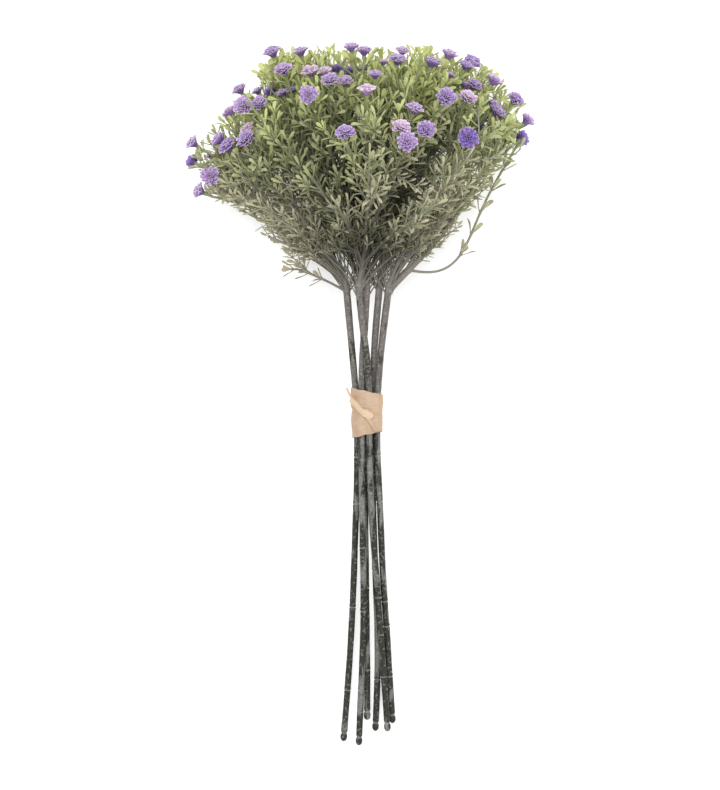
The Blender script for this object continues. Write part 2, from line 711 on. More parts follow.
def depth_in_crown(places):
    """How deep each place lies inside the crown, from 0 on its outside to 1."""
    x, y, z = places.T
    left, right = crown_sides(y)
    aside = np.minimum(x - left, right - x)
    along = np.clip(1 - ((y - CROWN_MIDDLE_Y) / CROWN_LENGTH)**2, LEAST_ALONG, 1)
    across_share = np.clip(1 - (x / CROWN_WIDTH)**2, LEAST_ASIDE, 1)
    middle = np.minimum(CROWN_HIGH, CROWN_LOW + CROWN_RISE * (y - FORK_Y))
    top = middle + CROWN_DEPTH * np.sqrt(along * across_share) - z
    depth = np.minimum.reduce((aside + SIDE_DEPTH, CROWN_TOP - y + END_DEPTH, top, z + GROUND_DEPTH))
    share = np.clip((depth - DEEP_FROM) / (DEEP_TO - DEEP_FROM), 0, 1)
    share = share * share * (3 - 2 * share) * (SHADE_BASE + (1 - SHADE_BASE) * hill(x, y, CORE))
    below = np.clip((top - FORK_FROM) / FORK_FADE, 0, 1)
    return np.maximum(share, FORK_DEPTH * hill(x, y, FORK_SHADE) * below)


def carried(points, side):
    """The direction of a line at each point, and two cross directions carried along it without twist."""
    course = tangents(points)
    sides = np.empty_like(points)
    for k, way in enumerate(course):
        side = unit(side - way * (side @ way))
        sides[k] = side
    return course, sides, np.cross(course, sides)


def wall_faces(rings, sides):
    """The faces between closed rings of corners."""
    k = np.arange(sides)
    after = (k + 1) % sides
    rows = np.arange(rings - 1)[:, None] * sides
    return np.stack((rows + k, rows + after, rows + after + sides, rows + k + sides), -1).reshape(-1, 4)


# The corners of a face in the other order, from the same first one.
TURNED = [0, 3, 2, 1]


def tube_faces(rings, sides):
    """The walls of a tube, and a fan at each end to one of the two corners that follow the rings."""
    k = np.arange(sides)
    after = (k + 1) % sides
    last = (rings - 1) * sides
    none = np.full(sides, -1)
    start = np.stack((after, k, np.full(sides, rings * sides), none), -1)
    end = np.stack((last + k, last + after, np.full(sides, rings * sides + 1), none), -1)
    return np.vstack((wall_faces(rings, sides), start, end))


def sweep(pile, points, radii, sides, slot, along=0.0, mark=0.0, tone=0.0, dents=None):
    """A round tube along the points, closed at both ends by a fan."""
    points = np.asarray(points, float)
    course, first, second = carried(points, across(tangents(points)[0])[0])
    turns = full_round(sides)
    reach = np.asarray(radii)[:, None] * (np.ones((len(points), sides)) if dents is None else dents)
    ring = first[:, None] * np.cos(turns)[None, :, None] + second[:, None] * np.sin(turns)[None, :, None]
    corners = (points[:, None] + ring * reach[:, :, None]).reshape(-1, 3)
    tips = np.array([points[0] - course[0] * radii[0] * 0.3, points[-1] + course[-1] * radii[-1] * 0.3])
    spread = []
    for value in (along, mark, tone):
        value = np.broadcast_to(np.asarray(value, float), len(points))
        spread.append(np.concatenate((np.repeat(value, sides), value[[0, -1]])))
    pile.add(np.vstack((corners, tips)), tube_faces(len(points), sides), slot, *spread)


# Shafts, finely

# Where the dust has come off above the tie: the shaft, the middle and the half length of the patch.
BARE_PATCHES = ((3, 253.0, 4.0), (3, 221.0, 13.0), (0, 224.0, 9.0), (1, 211.0, 7.0), (2, 240.0, 8.0))
SHAFT_ROUND = 14
# The bulb foot: distances from its end, and shares of the shaft's radius there.
FOOT_FORM = ((-0.35, 0.3), (0.0, 0.62), (0.5, 0.82), (1.2, 0.98), (2.4, 1.04), (3.4, 0.98), (4.1, 0.76),
             (4.7, 0.78), (5.4, 0.99), (7.5, 0.96))
FOOT_STEP, SHAFT_FINE_STEP = 0.35, 1.4
# How a shaft ends inside the fork, in the same way from its last point.
SHAFT_TIP = ((1.5, 0.97), (3.0, 0.9), (4.2, 0.7), (5.0, 0.4))
BARK, LEAF = 0, 1


def fine_shaft(pile, number, shaft, rng):
    """A shaft with its bulb foot, its node rings and a slightly uneven surface."""
    start, end = shaft[0][1], shaft[-1][1]
    marks = [(start + off, share) for off, share in FOOT_FORM] + [(end, 0.97)]
    foot_end = start + 8
    ys = np.concatenate((np.arange(start - FOOT_STEP, foot_end, FOOT_STEP),
                         np.arange(foot_end, end, SHAFT_FINE_STEP), [end]))
    rings = STEM_RINGS[number]
    for ring in rings:
        ys = np.concatenate((ys[abs(ys - ring) > 2.6], ring + np.linspace(-2.4, 2.4, 17)))
    ys = np.sort(ys)
    share = np.interp(ys, *zip(*marks))
    light = np.clip(1 - abs(ys - start - 4.4) / 0.8, 0, 1) * 0.8
    for ring in rings:
        off = ys - ring
        share += 0.10 * np.exp(-((off - 1.0) / 0.55)**2) + 0.05 * np.exp(-((off + 0.9) / 0.6)**2)
        share -= 0.13 * np.exp(-(off / 0.35)**2)
        light = np.maximum(light, np.exp(-((off - 0.15) / 0.33)**2))
    flat = smooth_track(shaft[:, 1], shaft[:, [0, 2]], ys)
    points = np.column_stack((flat[:, 0], ys, flat[:, 1]))
    heading = unit(shaft[-1] - shaft[-2])
    points = np.vstack((points, [points[-1] + heading * step for step, _ in SHAFT_TIP]))
    share = np.concatenate((share, [part for _, part in SHAFT_TIP]))
    light = np.concatenate((light, np.zeros(len(SHAFT_TIP))))
    radii = np.interp(points[:, 1], *zip(*RADIUS_AT)) * share
    phase = rng.uniform(0, 6)
    wave = 0.02 * np.sin(points[:, 1] * 0.21 + phase) + 0.012 * np.sin(points[:, 1] * 0.83 + 2 * phase)
    turns = full_round(SHAFT_ROUND)
    dents = 1 + wave[:, None] + 0.03 * np.sin(3 * turns[None] + points[:, 1, None] * 0.05 + phase)
    bare = np.zeros(len(points))
    for stem, place, half in BARE_PATCHES:
        if stem == number:
            bare = np.maximum(bare, np.exp(-((points[:, 1] - place) / half)**4))
    sweep(pile, points, radii, SHAFT_ROUND, BARK, along=bare, mark=light, tone=rng.random(), dents=dents)


# Twigs, finely

# Slim twigs beside the branches of a fork: how many for each, their lengths and how far they spread.
FORK_TWIGS = 3
FORK_TWIG_LENGTH = (24.0, 50.0)
FORK_TWIG_SPREAD = (4.0, 12.0)
# The fan of twigs at each fork: how many, the widest turn and their lengths.
FAN_TWIGS = 10
FAN_ANGLE = math.radians(48)
FAN_LENGTH = (22.0, 40.0)
FAN_RISE = (-0.15, 0.5)
# Shoots along the branches: the turn from each to the next, how far from the fork shoots and leaves begin,
# their steps, lengths, leans in degrees and radius, and how far they stop before a branch's tip and below
# the crown's top.
GOLDEN_TURN = math.radians(137.5)
SHOOTS_BEGIN = 20.0
LEAVES_BEGIN = 24.0
SHOOT_STEP = (4.6, 7.4)
SHOOT_LENGTH = (7.0, 19.0)
SHOOT_LEAN = (28, 52)
SHOOT_RADIUS = 0.42
SHOOT_STOP, TOP_STOP = 7, 5
# A share of the shoots is left out above this line and this near to the rim, away from the fork, where
# the crown is thinner and shows light between its twigs.
OPEN_TOP = 366.0
RIM, RIM_FROM = 9.0, 45.0
RIM_DROP = 0.55
# More shoots where few stand: the cells that count them, how many tries, how many fill a cell, the lowest
# y, their lengths and leans, and how far inside the rim they end.
THIN_CELL = 7.0
THIN_TRIES, THIN_FULL, THIN_FROM = 5200, 3, 281.0
THIN_LENGTH = (14.0, 27.0)
THIN_LEAN = (25, 60)
THIN_INSIDE = 9.0
# How far shoots keep from the ball of a head, and the least height of their tips.
HEAD_MARGIN = 2.5
LOWEST_TIP = 3.0
# What slim twigs and shoots count as where branches count the tips that hang on them.
TWIG_LOAD, SHOOT_LOAD = 0.6, 0.3
# The twig that loops out on the right, and the low leafy twigs at the rim, stand free of the crown.
LOOP_FREE, RIM_FREE = 1.0, 0.5
# How far shoots may end outside the crown's outline: on free twigs, and on others.
FREE_OVER, SHOOT_OVER = 6.0, 2.0


def slim_twig(points, parent, joint, start, load, free=0.0):
    """A twig or shoot that only the finer piece has."""
    twig = Branch(parent.stem, points, parent, joint, None, start)
    twig.load, twig.free = load, free
    return twig


class HeadRoom:
    """The heads as arrays, to keep shoots out of them and from above them."""

    def __init__(self, heads):
        self.middles = np.array([head.middle() for head in heads])
        self.reaches = np.array([HEAD_REACH * head.size for head in heads])
        self.seen = np.array([head.seen() for head in heads])

    def blocks(self, end, margin, below):
        """Whether a shoot's end cuts a head, or stands over one that is seen from above."""
        if (np.linalg.norm(self.middles - end, axis=1) < self.reaches + HEAD_MARGIN).any():
            return True
        over = np.linalg.norm(self.middles[:, :2] - end[:2], axis=1) < self.reaches + margin
        return bool((over & self.seen & (end[2] > self.middles[:, 2] - below)).any())


def inside_crown(x, y, z, room):
    """Whether a place lies in the crown's outline, with room to spare."""
    left, right = crown_sides(y)
    beside = left + room < x < right - room
    return beside and y < CROWN_TOP - room and LOWEST_TIP < z < crown_height(x, y, 1.0) + 2


def fork_twigs(branches, rng):
    """Slim twigs that leave each fork beside the branches and end in the leaves."""
    twigs = []
    for branch in branches:
        if branch.parent is not None or branch.free or branch.girth > 1:
            continue
        along = lengths_along(branch.points)
        side, up = across(tangents(branch.points)[0])
        for _ in range(FORK_TWIGS):
            wanted = np.linspace(0, min(rng.uniform(*FORK_TWIG_LENGTH), along[-1] * 0.8), 9)
            turn = rng.uniform(0, 2 * math.pi)
            out = swung(side, up, turn)
            spread = 0.8 + rng.uniform(*FORK_TWIG_SPREAD) * (wanted / wanted[-1])**1.4
            points = smooth_track(along, branch.points, wanted) + out * spread[:, None]
            if points[:, 2].min() < 4:
                continue
            twigs.append(slim_twig(points, branch, 0, branch.start, TWIG_LOAD))
    trunks = {branch.stem: branch for branch in branches if branch.parent is None}
    for stem, trunk in sorted(trunks.items()):
        fork = np.array((*FORK_ENDS[stem], trunk.points[0][2]))
        for number in range(FAN_TWIGS):
            turn = FAN_ANGLE * (2 * (number + rng.uniform(0.2, 0.8)) / FAN_TWIGS - 1)
            length = rng.uniform(*FAN_LENGTH)
            end = fork + length * np.array((math.sin(turn), math.cos(turn), rng.uniform(*FAN_RISE)))
            start = fork + np.array((0.6 * math.sin(turn), rng.uniform(-5, 2), 0.4))
            rise = start + np.array((0.3 * math.sin(turn), 0.35, 0.05)) * length
            points = bezier(start, rise, end - unit(end - start) * length * 0.3, end, 8)
            twigs.append(slim_twig(points, trunk, 0, 0.0, TWIG_LOAD))
    return twigs


def side_shoots(branches, room, rng):
    """Short leafy shoots that stand on the branches, turn by turn round them, inside the crown."""
    shoots = []
    for branch in branches:
        if branch.free == LOOP_FREE:
            continue
        along = lengths_along(branch.points)
        course = tangents(branch.points)
        place = BARE_LENGTH * rng.uniform(0.7, 1.2)
        turn = rng.uniform(0, 2 * math.pi)
        while place < along[-1] - SHOOT_STOP:
            k = int(np.searchsorted(along, place))
            centre = track_at(along, branch.points, place)
            turn += GOLDEN_TURN
            place += rng.uniform(*SHOOT_STEP)
            out = swung(*across(course[k]), turn)
            lean = math.radians(rng.uniform(*SHOOT_LEAN))
            length = rng.uniform(*SHOOT_LENGTH)
            away = np.linalg.norm(centre[:2] - FORK_ENDS[branch.stem])
            if away < SHOOTS_BEGIN:
                continue
            leave = swung(course[k], out, lean)
            rise = unit(course[k] + 0.25 * out + np.array((0, 0.35, 0.1)))
            end = centre + leave * length * 0.6 + rise * length * 0.4
            over = FREE_OVER if branch.free else SHOOT_OVER
            if not inside_crown(*end, -over) or end[1] > CROWN_TOP - TOP_STOP:
                continue
            near_rim = not inside_crown(*end, RIM) and away > RIM_FROM
            if (near_rim or end[1] > OPEN_TOP) and rng.random() < RIM_DROP:
                continue
            if room.blocks(end, 1.0, 0.0):
                continue
            points = bezier(centre, centre + leave * length * 0.4, end - rise * length * 0.3, end, 7)
            shoots.append(slim_twig(points, branch, k, branch.start + place, SHOOT_LOAD, branch.free))
    return shoots


def thin_spots(branches, shoots, room, rng):
    """More shoots where, seen from above, few stand yet."""
    counts = {}
    for shoot in shoots:
        cell = tuple((shoot.points[-1][:2] // THIN_CELL).astype(int))
        counts[cell] = counts.get(cell, 0) + 1
    added = []
    for _ in range(THIN_TRIES):
        branch = branches[rng.randrange(len(branches))]
        k = rng.randrange(2, len(branch.points) - 1)
        course = tangents(branch.points)[k]
        centre = branch.points[k]
        turn, lean = rng.uniform(0, 2 * math.pi), math.radians(rng.uniform(*THIN_LEAN))
        way = swung(course, swung(*across(course), turn), lean)
        end = centre + way * rng.uniform(*THIN_LENGTH)
        cell = tuple((end[:2] // THIN_CELL).astype(int))
        if branch.free or counts.get(cell, 0) >= THIN_FULL or not inside_crown(*end, THIN_INSIDE):
            continue
        if end[1] < THIN_FROM or room.blocks(end, 2.0, 6.0):
            continue
        points = bezier(centre, centre + way * 6, end - course * 4, end, 7)
        counts[cell] = counts.get(cell, 0) + 1
        added.append(slim_twig(points, branch, k, branch.start, SHOOT_LOAD))
    return added


def twig_radii(branch, along):
    """Radius along a twig, with a swollen root."""
    if branch.load < 1:
        radii = np.linspace(SHOOT_RADIUS * 1.15, SHOOT_RADIUS * 0.8, len(along))
    else:
        radii = np.interp(along, lengths_along(branch.points), branch_radii(branch))
    return radii * (1 + 0.35 * np.exp(-along / 2.2))


def fine_twig(pile, branch, nodes, rng):
    """A twig with small swellings at its leaf nodes and, under a bloom, its flared calyx."""
    along = lengths_along(branch.points)
    total = along[-1]
    even = np.linspace(0, total, max(5, round(total / 2.8)))
    swellings = [(node - 0.7, node, node + 0.7) for node in nodes if 1 < node < total - 1]
    places = np.unique(np.concatenate((even, *swellings)))
    points = smooth_track(along, branch.points, places)
    radii = twig_radii(branch, places)
    knobs = np.zeros(len(places))
    for node in nodes:
        knobs = np.maximum(knobs, np.exp(-((places - node) / 0.8)**2))
    knobs = np.maximum(knobs, np.exp(-(places / 1.6)**2))
    radii = radii * (1 + 0.22 * knobs)
    if branch.head is not None:
        cup = np.clip(1 - (total - places) / 3.2, 0, 1)
        radii = radii + (CALYX_RADIUS * branch.head.size - radii) * cup**0.7
    young = (branch.start + places) / 150.0
    if branch.load < 1:
        young = np.minimum(young + 0.15, 1)
    sides = 8 if branch.load > 5 else (6 if branch.load >= 1 else 5)
    sweep(pile, points, radii, sides, BARK, along=np.clip(young, 0, 1), mark=knobs * 0.5, tone=rng.random())


# Leaves

# Leafy twigs whose tips have a lower y than this stand free.
LOW_TIPS = 280.0
# Where leafy twigs end that are cut short, and how many points each kind loses.
LONG_TIPS = ((-66, 384), (-84, 352))
LONG_CUT, TOP_CUT = 5, 2
# The steps between leaf nodes: on twigs, on shoots, and on the looping twig past its bare part.
FINE_WHORL_STEP, SHOOT_WHORL_STEP = 8.6, 5.5
LOOP_BARE, LOOP_WHORL_STEP = 32.5, 13.4
# Ranges of a leaf's length on shoots and on twigs, then of its length and width beside a bloom, on the
# free low twigs and on the looping twig.
SHOOT_LEAF, TWIG_LEAF = (5.0, 7.5), (7.5, 10.0)
BLOOM_LEAF = ((7.0, 9.5), (2.6, 3.9))
RIM_LEAF = ((7.0, 8.6), (2.0, 2.5))
LOOP_LEAF = ((9.0, 11.0), (2.6, 3.3))
# How far a leaf leans off its twig, in degrees, and off the last node of one, and its bend and twist.
LEAF_LEAN, END_LEAN = (34, 62), (22, 46)
LEAF_BEND, LEAF_TWIST = (-0.2, 0.16), (-0.7, 0.7)
# How far leaves may stand over the crown's outline, by y, and how far they stop below its top.
OVER_RIM = ((300, 4.0), (345, 3.0), (375, 0.0))
LEAF_STOP = 2.5
# The shares of a leaf's length at which its place is tested, its least height and its least gap to a
# head, and the share of a head's radius that no leaf hides.
LEAF_PROBES = (0.4, 0.65, 0.85, 1.0)
LEAF_LOW, LEAF_GAP, HIDDEN_SHARE = 1.2, 0.5, 0.85
# A leaf's stations from root to tip, and its width at each.
LEAF_STATIONS = np.array((0.0, 0.3, 0.62, 0.86, 1.0))
LEAF_SPREAD = np.array((0.26, 0.36, 0.92, 0.96, 0.4))


def freedom(branch):
    """Whether a branch stands free of the crown: LOOP_FREE, RIM_FREE or 0."""
    tip = branch.points[-1]
    if branch.head is None and math.dist(tip[:2], LOOP_TWIG[-1][:2]) < 3:
        return LOOP_FREE
    return RIM_FREE if branch.head is None and tip[1] < LOW_TIPS else 0.0


def trimmed(branch):
    """How many points come off a leafy twig that reaches past the blooms round it."""
    if branch.head is not None:
        return 0
    if min(math.dist(branch.points[-1][:2], place) for place in LONG_TIPS) < 3:
        return LONG_CUT
    return TOP_CUT if branch.points[-1][1] > CROWN_TOP - 7 else 0


def leaf_nodes(branch):
    """Distances along a twig at which its leaves stand."""
    total = lengths_along(branch.points)[-1]
    if branch.load < 1:
        return [total - 0.5, *np.arange(total - 6.0, 3.0, -SHOOT_WHORL_STEP)]
    if branch.free == LOOP_FREE:
        return list(np.arange(LOOP_BARE, total, LOOP_WHORL_STEP))
    place = total - (0.8 if branch.head is None else FIRST_WHORL)
    nodes = []
    while place > BARE_LENGTH * 0.8:
        nodes.append(place)
        place -= FINE_WHORL_STEP
    return nodes


def whorl(blades, branch, place, number, rng):
    """The leaves round one node, the ones next to a bloom broader and paler.

    Each is its root, its direction, the way its upper side faces, and its length, width, bend, twist, tone
    and freedom. A free one may stand outside the crown's outline.
    """
    along = lengths_along(branch.points)
    total = along[-1]
    centre = track_at(along, branch.points, place)
    course = tangents(branch.points)
    way = unit(np.array([np.interp(place, along, course[:, k]) for k in range(3)]))
    side, up = across(way)
    radius = float(twig_radii(branch, np.array([place]))[0])
    shoot = branch.load < 1
    last = place > total - 1.5
    looping = branch.free == LOOP_FREE
    crowning = branch.head is not None and number == 0
    count = rng.choice((3, 4, 4)) if last or crowning or branch.free else rng.choice((2, 3, 3, 4))
    height = np.clip((centre[1] - 300) / 90, 0, 1)
    kin = branch.parent.hue if shoot else branch.hue
    sizes = ((crowning, BLOOM_LEAF), (branch.free, RIM_LEAF), (looping, LOOP_LEAF))
    for k in range(count):
        turn = branch.roll + number * 1.9 + 2 * math.pi * k / count + rng.uniform(-0.3, 0.3)
        out = swung(side, up, turn)
        lean = math.radians(rng.uniform(*(END_LEAN if last or looping else LEAF_LEAN)))
        ahead = unit(swung(way, out, lean))
        top = unit(way * math.sin(lean) - out * math.cos(lean))
        length = rng.uniform(*(SHOOT_LEAF if shoot else TWIG_LEAF)) + 1.2 * height
        width = (1.3 + 1.15 * height) * rng.uniform(0.8, 1.25)
        for holds, (lengths, widths) in sizes:
            if holds:
                length, width = rng.uniform(*lengths), rng.uniform(*widths)
        bend = rng.uniform(*LEAF_BEND)
        tone = 0.3 * rng.random() + 0.55 * kin + (0.2 if crowning else 0.0)
        twist = rng.uniform(*LEAF_TWIST)
        size = (length, width, bend, twist, tone, branch.free)
        blades.append((centre + out * radius * 0.5, ahead, top, size))


def clear_blades(blades, heads):
    """The leaves as arrays, without those that cut or hide a bloom, leave the crown or touch the ground."""
    packed = [np.array(part) for part in zip(*blades)]
    root, way, _, size = packed
    shares = np.array(LEAF_PROBES)[None, :, None]
    spots = root[:, None] + way[:, None] * size[:, None, :1] * shares
    flat = spots.reshape(-1, 3)
    keep = spots[:, :, 2].min(axis=1) > LEAF_LOW
    for head in heads:
        keep &= (head.clearance(flat).reshape(-1, len(LEAF_PROBES)) > LEAF_GAP).all(axis=1)
        if head.seen():
            aside = np.linalg.norm(spots[:, :, :2] - head.place[:2], axis=2)
            hides = (aside < HEAD_RADIUS * head.size * HIDDEN_SHARE) & (spots[:, :, 2] > head.place[2])
            keep &= ~hides.any(axis=1)
    x, y, _ = spots[:, -1].T
    left, right = crown_sides(y)
    over = np.interp(y, *zip(*OVER_RIM))
    inside = (x > left - over) & (x < right + over) & (y < CROWN_TOP - LEAF_STOP)
    keep &= inside | size[:, 5].astype(bool)
    return [part[keep] for part in packed]


def add_blades(pile, packed):
    """Every leaf as a grooved spoon with a keel, closed all round."""
    root, way, top, size = packed
    count, stations = len(root), len(LEAF_STATIONS)
    length, width, bend, twist = [size[:, k][:, None, None] for k in range(4)]
    u = LEAF_STATIONS[None, :, None]
    side = np.cross(way, top)
    way, top, side = way[:, None], top[:, None], side[:, None]
    centre = root[:, None] + way * length * (u - 0.25 * abs(bend) * u**2)
    centre = centre + top * length * bend * u * (1.3 * u - 0.3)
    turn = twist * u
    aside = side * np.cos(turn) + top * np.sin(turn)
    above = top * np.cos(turn) - side * np.sin(turn)
    half = width / 2 * LEAF_SPREAD[None, :, None]
    left = centre - aside * half + above * half * 0.28
    right = centre + aside * half + above * half * 0.28
    groove = centre - above * 0.02
    keel = centre - above * (0.5 - 0.32 * u)
    corners = np.stack((left, groove, right, keel), axis=2).reshape(-1, 3)
    block = stations * 4
    ends = np.array(((0, 1, 2, 3), (block - 1, block - 2, block - 3, block - 4)))
    single = np.vstack((wall_faces(stations, 4)[:, TURNED], ends))
    faces = (single[None] + np.arange(count)[:, None, None] * block).reshape(-1, 4)
    along = np.broadcast_to(LEAF_STATIONS[None, :, None], (count, stations, 4)).ravel()
    mark = np.broadcast_to(np.array((1.0, 0.0, 1.0, 0.3)), (count, stations, 4)).ravel()
    pile.add(corners, faces, LEAF, along, mark, np.repeat(size[:, 4], block))


# Blooms

# Rows of petals from the rim inwards: how many, then where a petal ends aside and upwards, its half width,
# how far it curls back at its end, and its cup, all as shares of the head's radius.
PETAL_ROWS = (
    (11, 1.00, -0.02, 0.25, 0.12, 0.55),
    (10, 0.88, 0.10, 0.24, 0.08, 0.55),
    (9, 0.70, 0.20, 0.23, 0.05, 0.50),
    (7, 0.50, 0.28, 0.20, 0.02, 0.60),
    (5, 0.31, 0.32, 0.17, 0.00, 0.70),
    (3, 0.14, 0.30, 0.13, 0.00, 0.75),
)
PETAL_ALONG = np.array((0.0, 0.45, 0.72, 0.9, 1.0))
PETAL_ACROSS = np.array((-1.0, -0.4, 0.4, 1.0))
PETAL_THICK = 0.16


def add_petals(pile, head, tint, rng):
    """A double head: rows of frilled petals that spring from one narrow funnel."""
    side, up = across(head.facing)
    radius = HEAD_RADIUS * head.size
    u = PETAL_ALONG[:, None]
    v = PETAL_ACROSS[None, :]
    spin = rng.uniform(0, 2 * math.pi)
    for row, (count, reach, height, half, curl, cup) in enumerate(PETAL_ROWS):
        for k in range(count):
            turn = spin + row * 1.1 + 2 * math.pi * (k + rng.uniform(-0.18, 0.18)) / count
            out = swung(side, up, turn)
            round_way = np.cross(head.facing, out)
            far = reach * rng.uniform(0.86, 1.07)
            tall = height + rng.uniform(-0.09, 0.11)
            low = 0.10 + 0.08 * (reach > 0.8)
            bottom = -0.72 if row < 2 else -0.4
            root = np.array((low * reach, bottom))
            bulge = np.array((0.5 * far, -0.2 + tall * 0.9))
            tip = np.array((far, tall - curl * 0.3))
            curve = (1 - u)**2 * root + 2 * u * (1 - u) * bulge + u**2 * tip
            run = 2 * (1 - u) * (bulge - root) + 2 * u * (tip - bulge)
            run = run / np.linalg.norm(run, axis=1, keepdims=True)
            normal = np.column_stack((-run[:, 1], run[:, 0]))
            spread = half * (0.28 + 0.72 * u**1.3) * (1 - 0.25 * (u > 0.95))
            frill = 0.22 * v**2 + 0.04 * np.cos(2.5 * math.pi * v + rng.uniform(-1, 1))
            shorten = frill * half * 2.4 * u**3
            lift = cup * half * v**2 * u + rng.uniform(-0.03, 0.03) * v * u
            lift = lift + 0.035 * np.sin(4 * v + 9 * turn) * u**2
            out_by = curve[:, :1] + normal[:, :1] * lift - run[:, :1] * shorten
            up_by = curve[:, 1:] + normal[:, 1:] * lift - run[:, 1:] * shorten
            front = (head.place + radius * (out_by[..., None] * out + up_by[..., None] * head.facing
                                            + (spread * v)[..., None] * round_way))
            skin = normal[:, None, :1] * out + normal[:, None, 1:] * head.facing
            add_sheet(pile, front, front - skin * PETAL_THICK, tint + rng.uniform(-0.08, 0.08))


def add_sheet(pile, front, back, tone):
    """A thin closed sheet between two grids of points."""
    rows, columns = front.shape[:2]
    cells = rows * columns
    index = np.arange(cells).reshape(rows, columns)
    a, b, c, d = index[:-1, :-1], index[:-1, 1:], index[1:, 1:], index[1:, :-1]
    upper = np.stack((a, b, c, d), -1).reshape(-1, 4)
    lower = np.stack((a, d, c, b), -1).reshape(-1, 4) + cells
    rim = np.concatenate((index[0], index[1:, -1], index[-1, -2::-1], index[-2:0:-1, 0]))
    after = np.roll(rim, -1)
    edge = np.stack((after, rim, rim + cells, after + cells), -1)
    along = np.broadcast_to(PETAL_ALONG[:, None], (rows, columns)).ravel()
    mark = np.broadcast_to(abs(PETAL_ACROSS)[None] * 0.8, (rows, columns)).ravel()
    pile.add(np.vstack((front.reshape(-1, 3), back.reshape(-1, 3))), np.vstack((upper, lower, edge)), 0,
             np.concatenate((along, along)), np.concatenate((mark, mark)), tone)


# Heads that the light or their age makes paler or deeper than the rest, by their places in the tables.
PALE_HEADS = ((-31, 381), (-24, 381), (0.5, 369), (-66, 349), (19, 347), (57, 366))
DEEP_HEADS = ((56.5, 342), (-14.5, 384), (-10, 383.5), (-98, 331.5), (-53.5, 371), (65, 351.5), (88, 345))


def head_tint(head, rng):
    """How deep the violet is, from 0 for a pale head to 1 for a deep one."""
    tint = rng.uniform(0.38, 0.7)
    for places, value in ((PALE_HEADS, 0.12), (DEEP_HEADS, 0.92)):
        if min(math.dist(head.place[:2], place) for place in places) < 4:
            tint = value
    return tint


# Raffia, finely

TIE_ROUND = 96
TIE_LEVELS = 17
STRIP_STATIONS, STRIP_SIDES = 26, 14
STRIP_TONES = (0.3, 0.38, 0.08, 0.25)


def around(line, turns):
    """A closed outline read at even shares of its round."""
    share = turns * len(line) / (2 * math.pi)
    low = np.floor(share).astype(int) % len(line)
    part = (share - np.floor(share))[:, None]
    t = part * part * (3 - 2 * part)
    return line[low] * (1 - t) + line[(low + 1) % len(line)] * t


def fine_band(pile, shafts):
    """The band as a soft ribbon with slanting edges and creases."""
    turns = full_round(TIE_ROUND)
    inner, outer = [], []
    for level in np.linspace(0, 1, TIE_LEVELS):
        y = TIE_BOTTOM + (TIE_TOP - TIE_BOTTOM) * level
        base = tie_outline(shafts, y, 0.0)
        middle = base.mean(axis=0)
        for ring, extra in ((inner, 0.15), (outer, TIE_THICKNESS - 0.25)):
            line = around(tie_outline(shafts, y, extra), turns)
            way = line - middle
            way = way / np.linalg.norm(way, axis=1, keepdims=True)
            crease = 0.16 * np.sin(5 * turns + 9 * level) * math.sin(3 * level + 1)
            crease = crease + 0.22 * np.sin(15 * level + 4 * np.sin(turns + 0.6))
            fold = -0.55 * np.exp(-((level - 0.62 - 0.05 * np.cos(turns)) / 0.035)**2)
            fold = fold - 0.4 * np.exp(-((level - 0.3 - 0.07 * np.cos(turns + 1)) / 0.03)**2)
            thin = 0.3 if level in (0.0, 1.0) else 0.0
            line = line + way * ((crease + fold - thin) * (1.0 if ring is outer else 0.5))[:, None]
            slant = (level - 0.5) * 2 * TIE_SLANT * (middle[0] - line[:, 0])
            ragged = 0.2 * np.sin(5 * turns + 5) + 0.08 * np.sin(23 * turns)
            edge = y + slant + ragged * (abs(level - 0.5) * 2)**4
            ring.append(np.column_stack((line[:, 0], edge, line[:, 1])))
    count = TIE_ROUND
    corners = np.concatenate(inner + outer)
    k = np.arange(count)
    after = (k + 1) % count
    far = TIE_LEVELS * count
    top = (TIE_LEVELS - 1) * count
    walls = wall_faces(TIE_LEVELS, count)
    faces = np.vstack((
        walls[:, TURNED],
        walls + far,
        np.stack((k, after, far + after, far + k), -1),
        np.stack((top + after, top + k, far + top + k, far + top + after), -1),
    ))
    along = np.tile(turns / (2 * math.pi), 2 * TIE_LEVELS)
    mark = np.tile(np.repeat(np.linspace(0, 1, TIE_LEVELS), count), 2)
    pile.add(corners, faces[:, ::-1], 0, along, mark, 0.0)


def fine_strip(pile, shafts, spots, width, thickness, tone):
    """A free end or the knot: a ribbon with a rolled cross-section that lies on the band."""
    points = []
    for x, y, rise in spots:
        line = tie_outline(shafts, y, TIE_THICKNESS)
        upper = line[line[:, 1] > line[:, 1].mean()]
        upper = upper[np.argsort(upper[:, 0])]
        points.append((x, y, float(np.interp(x, upper[:, 0], upper[:, 1])) + rise))
    points = np.array(points)
    along = lengths_along(points)
    wanted = np.linspace(0, along[-1], STRIP_STATIONS)
    points = smooth_track(along, points, wanted)
    course = tangents(points)
    turns = full_round(STRIP_SIDES)
    corners = []
    for n, (point, way) in enumerate(zip(points, course)):
        side = unit(np.cross(way, (0.0, 0.0, 1.0)))
        up = np.cross(side, way)
        share = n / (len(points) - 1)
        girth = 1 - 0.3 * (2 * share - 1)**4 + 0.06 * math.sin(9 * share)
        for turn in turns:
            aside = math.cos(turn) * width / 2 * girth
            above = math.sin(turn) * thickness / 2 * (1 + 0.25 * math.cos(3 * turn))
            above = above - 0.12 * aside * aside / width
            corners.append(point + side * aside + up * above)
    corners += [points[0], points[-1]]
    spread = np.concatenate((np.repeat(wanted / 40, STRIP_SIDES), [0, wanted[-1] / 40]))
    mark = np.concatenate((np.tile(0.5 + 0.5 * np.cos(turns), len(points)), [0.5, 0.5]))
    pile.add(np.array(corners), tube_faces(len(points), STRIP_SIDES), 0, spread, mark, tone)


# Materials

